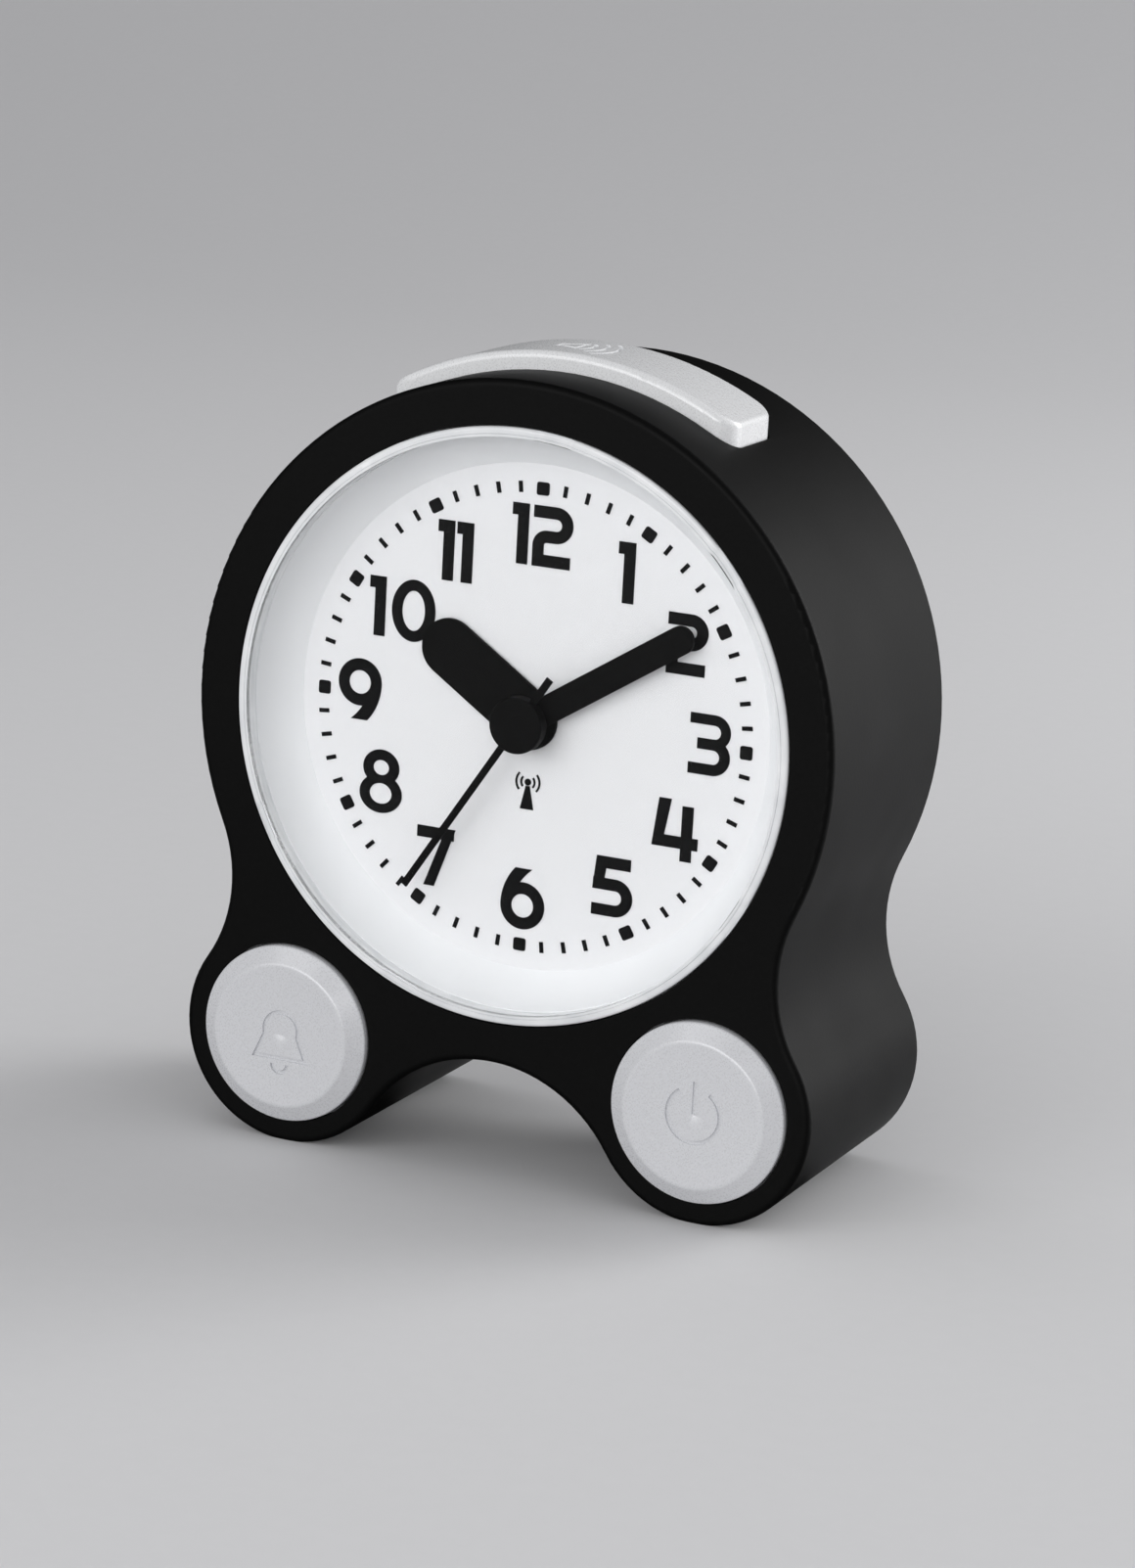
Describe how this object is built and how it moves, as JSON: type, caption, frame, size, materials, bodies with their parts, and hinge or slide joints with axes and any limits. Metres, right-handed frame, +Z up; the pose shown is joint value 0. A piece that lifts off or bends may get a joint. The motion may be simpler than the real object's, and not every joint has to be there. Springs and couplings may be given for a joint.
{
  "type": "talking clock",
  "caption": "Analogue talking table clock with a round dial, a two-footed case, a talk bar on top, large round front buttons and a battery compartment behind.",
  "frame": {"origin": "middle of the bounding box's bottom, on the table between the feet", "axes": "+Z up, the dial looks along -Y, +X is the viewer's right when facing the dial"},
  "size_m": [0.0894, 0.0419, 0.1072],
  "materials": {
    "black_case": "glossy black injection-moulded case",
    "black_cover": "fine satin black",
    "clear_lens": "polished clear lens",
    "white_surround": "matt grey-white",
    "white_dial": "matt white",
    "black_print": "screen-printed black ink",
    "black_hand": "matt black paint on aluminium",
    "white_frame": "matt white moulding",
    "clear_cover": "frosted moulding",
    "screw_steel": "zinc-plated",
    "gear_plastic": "acetal, self-coloured",
    "rotor_ferrite": "moulded magnet",
    "stator_steel": "stamped soft iron",
    "coil_copper": "enamelled copper winding",
    "ferrite": "fired ferrite",
    "silver_bar": "silver-grey satin lacquer",
    "silver_button": "silver-grey satin lacquer",
    "spring_steel": "bright drawn wire",
    "contact_nickel": "nickel-plated strip",
    "circuit_board": "green solder mask",
    "switch_body": "black moulding",
    "switch_metal": "folded tinned sheet",
    "chip_resin": "moulded resin",
    "crystal_can": "drawn can",
    "capacitor_sleeve": "dark shrink sleeve",
    "speaker_steel": "pressed, zinc-plated",
    "paper_cone": "black paper",
    "magnet_ferrite": "fired ferrite",
    "cell_jacket": "plain printed film over steel can",
    "grey_button": "satin grey",
    "lead_insulation": "insulated wire"
  },
  "bodies": {
    "case": {"front_housing": "black_case", "rear_cover": "black_cover", "lens": "clear_lens", "dial_surround": "white_surround", "dial": "white_dial", "dial_print": "black_print", "movement_carrier": "white_frame", "movement_mid_plate": "white_frame", "movement_cover": "clear_cover", "carrier_screws": "screw_steel", "board_screws": "screw_steel", "housing_screws": "screw_steel", "motor_stators": "stator_steel", "motor_coils": "coil_copper", "antenna_coil": "coil_copper", "ferrite_rod": "ferrite", "battery_springs": "spring_steel", "battery_contacts": "contact_nickel", "talk_board": "circuit_board", "button_boards": "circuit_board", "main_board": "circuit_board", "talk_switch": "switch_body", "button_switches": "switch_body", "set_switches": "switch_body", "volume_switch": "switch_metal", "voice_chip": "chip_resin", "clock_chip": "chip_resin", "quartz_crystal": "crystal_can", "capacitors": "capacitor_sleeve", "speaker_frame": "speaker_steel", "speaker_cone": "paper_cone", "speaker_magnet": "magnet_ferrite", "battery_cells": "cell_jacket", "lead_wires": "lead_insulation"},
    "hour_train": {"hour_hand": "black_hand", "hour_wheel": "gear_plastic"},
    "minute_train": {"minute_hand": "black_hand", "cannon_wheel": "gear_plastic"},
    "second_train": {"second_hand": "black_hand", "seconds_wheel": "gear_plastic"},
    "transfer_gear": {"transfer_wheel": "gear_plastic"},
    "minute_third": {"minute_third_wheel": "gear_plastic"},
    "minute_motor": {"minute_rotor": "rotor_ferrite"},
    "seconds_third": {"seconds_third_wheel": "gear_plastic"},
    "seconds_motor": {"seconds_rotor": "rotor_ferrite"},
    "talk_bar_body": {"talk_bar": "silver_bar", "talk_bar_springs": "spring_steel"},
    "alarm_button_body": {"alarm_button": "silver_button", "alarm_button_spring": "spring_steel"},
    "on_off_button_body": {"on_off_button": "silver_button", "on_off_button_spring": "spring_steel"},
    "hour_set": {"hour_set_button": "grey_button"},
    "minute_set": {"minute_set_button": "grey_button"},
    "alarm_set": {"alarm_set_button": "grey_button"},
    "volume": {"volume_knob": "grey_button"},
    "door": {"battery_door": "black_cover"}
  },
  "joints": [
    {"name": "minute_spin", "type": "hinge", "parent": "case", "child": "minute_train", "pos_m": [0, 0, 0.06015], "axis": [0, 1, 0], "continuous": true},
    {"name": "hour_spin", "type": "hinge", "parent": "case", "child": "hour_train", "pos_m": [0, 0, 0.06015], "axis": [0, 1, 0], "continuous": true},
    {"name": "second_spin", "type": "hinge", "parent": "case", "child": "second_train", "pos_m": [0, 0, 0.06015], "axis": [0, 1, 0], "continuous": true},
    {"name": "transfer_spin", "type": "hinge", "parent": "case", "child": "transfer_gear", "pos_m": [0, 0, 0.06815], "axis": [0, 1, 0], "continuous": true},
    {"name": "minute_third_spin", "type": "hinge", "parent": "case", "child": "minute_third", "pos_m": [-0.00728, 0, 0.05595], "axis": [0, 1, 0], "continuous": true},
    {"name": "minute_motor_spin", "type": "hinge", "parent": "case", "child": "minute_motor", "pos_m": [-0.01351, 0, 0.05235], "axis": [0, 1, 0], "continuous": true},
    {"name": "seconds_third_spin", "type": "hinge", "parent": "case", "child": "seconds_third", "pos_m": [0.00728, 0, 0.05595], "axis": [0, 1, 0], "continuous": true},
    {"name": "seconds_motor_spin", "type": "hinge", "parent": "case", "child": "seconds_motor", "pos_m": [0.01351, 0, 0.05235], "axis": [0, 1, 0], "continuous": true},
    {"name": "talk_bar_press", "type": "slide", "parent": "case", "child": "talk_bar_body", "axis": [0, 0, -1], "range_m": [0, 0.0012], "stiffness_N_per_m": 900, "springref_m": -0.0008, "deforming": ["talk_bar_springs"]},
    {"name": "alarm_button_press", "type": "slide", "parent": "case", "child": "alarm_button_body", "axis": [0, 1, 0], "range_m": [0, 0.0012], "stiffness_N_per_m": 700, "springref_m": -0.0008, "deforming": ["alarm_button_spring"]},
    {"name": "on_off_button_press", "type": "slide", "parent": "case", "child": "on_off_button_body", "axis": [0, 1, 0], "range_m": [0, 0.0012], "stiffness_N_per_m": 700, "springref_m": -0.0008, "deforming": ["on_off_button_spring"]},
    {"name": "hour_set_press", "type": "slide", "parent": "case", "child": "hour_set", "axis": [0, -1, 0], "range_m": [0, 0.0008], "stiffness_N_per_m": 900, "springref_m": -0.0006},
    {"name": "minute_set_press", "type": "slide", "parent": "case", "child": "minute_set", "axis": [0, -1, 0], "range_m": [0, 0.0008], "stiffness_N_per_m": 900, "springref_m": -0.0006},
    {"name": "alarm_set_press", "type": "slide", "parent": "case", "child": "alarm_set", "axis": [0, -1, 0], "range_m": [0, 0.0008], "stiffness_N_per_m": 900, "springref_m": -0.0006},
    {"name": "volume_slide", "type": "slide", "parent": "case", "child": "volume", "axis": [0, 0, 1], "range_m": [-0.0025, 0.0025]},
    {"name": "battery_door_hinge", "type": "hinge", "parent": "case", "child": "door", "pos_m": [0, 0.0184, 0.05355], "axis": [1, 0, 0], "range_deg": [0, 95]}
  ],
  "couplings": [
    {"joint": "transfer_spin", "follows": "minute_spin", "ratio": -0.25},
    {"joint": "hour_spin", "follows": "minute_spin", "ratio": 0.083333},
    {"joint": "minute_third_spin", "follows": "minute_spin", "ratio": -6},
    {"joint": "minute_motor_spin", "follows": "minute_spin", "ratio": 30},
    {"joint": "seconds_third_spin", "follows": "second_spin", "ratio": -6},
    {"joint": "seconds_motor_spin", "follows": "second_spin", "ratio": 30}
  ]
}
